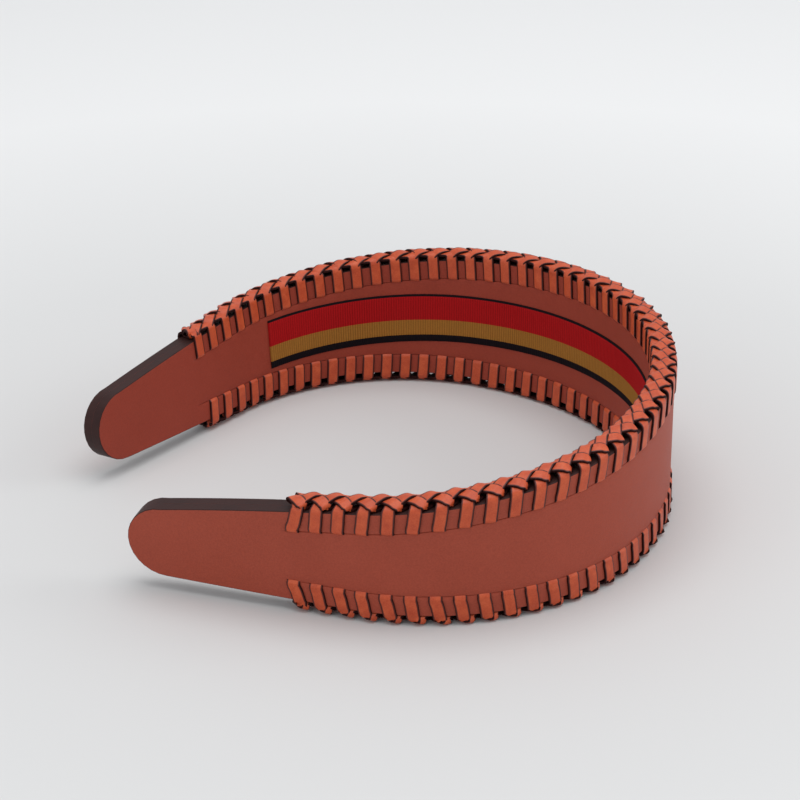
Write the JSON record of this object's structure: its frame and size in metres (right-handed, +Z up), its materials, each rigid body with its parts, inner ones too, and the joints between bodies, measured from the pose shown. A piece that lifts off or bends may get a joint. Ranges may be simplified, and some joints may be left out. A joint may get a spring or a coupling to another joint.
{
  "type": "headband",
  "caption": "Wide leather headband: a springy horseshoe band with buttonhole-laced edges and a striped ribbon lining the inside.",
  "frame": {"origin": "on the floor, under the middle of the band's outline", "axes": "+X out of the crown, +Y towards the right leg, +Z up along the width of the band as it lies on its lower edge"},
  "size_m": [0.1304, 0.1336, 0.039],
  "materials": {
    "cover_leather": "fine-grained terracotta leather, satin",
    "lining_leather": "brick-red lining leather, matt",
    "core_plastic": "black springy strip",
    "ribbon_fabric": "ribbed grosgrain, red, olive-gold and black stripes",
    "lace_leather": "glossy orange lace with dark edges"
  },
  "bodies": {
    "left_side": {"left_outer_cover": "cover_leather", "left_inner_lining": "lining_leather", "left_spring_core": "core_plastic", "left_ribbon": "ribbon_fabric", "left_upper_lace": "lace_leather", "left_lower_lace": "lace_leather"},
    "right_side": {"right_outer_cover": "cover_leather", "right_inner_lining": "lining_leather", "right_spring_core": "core_plastic", "right_ribbon": "ribbon_fabric", "right_upper_lace": "lace_leather", "right_lower_lace": "lace_leather"}
  },
  "joints": [
    {"name": "spread", "type": "hinge", "parent": "left_side", "child": "right_side", "pos_m": [0.06184, 0, 0.018], "axis": [0, 0, -1], "range_deg": [-8, 25], "stiffness_Nm_per_rad": 0.5}
  ]
}
